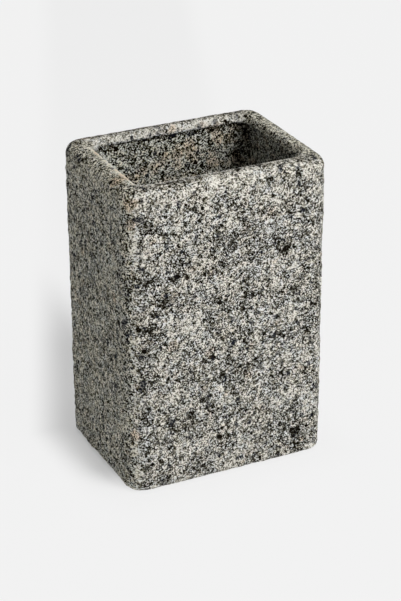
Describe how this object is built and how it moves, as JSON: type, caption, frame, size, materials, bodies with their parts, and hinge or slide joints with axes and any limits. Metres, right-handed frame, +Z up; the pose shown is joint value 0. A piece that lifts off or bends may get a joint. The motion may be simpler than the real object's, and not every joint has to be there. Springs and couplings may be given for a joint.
{
  "type": "bathroom tumbler",
  "caption": "Rectangular open-topped tumbler cast in granite-look stone, with a rolled rim, a slight lip inside the mouth and anti-slip pads let into the underside.",
  "frame": {"origin": "centre of the footprint, on the plane that the anti-slip pads stand on", "axes": "+Z up out of the open mouth, -Y out of the wide front face, +X to the right of that face"},
  "size_m": [0.0734, 0.0556, 0.11],
  "materials": {
    "stone_cast": "rough salt-and-pepper granite look",
    "pad_rubber": "satin translucent grey"
  },
  "bodies": {
    "root": {"tumbler_body": "stone_cast", "pad_front_left": "pad_rubber", "pad_front_right": "pad_rubber", "pad_rear_left": "pad_rubber", "pad_rear_right": "pad_rubber"}
  },
  "joints": []
}
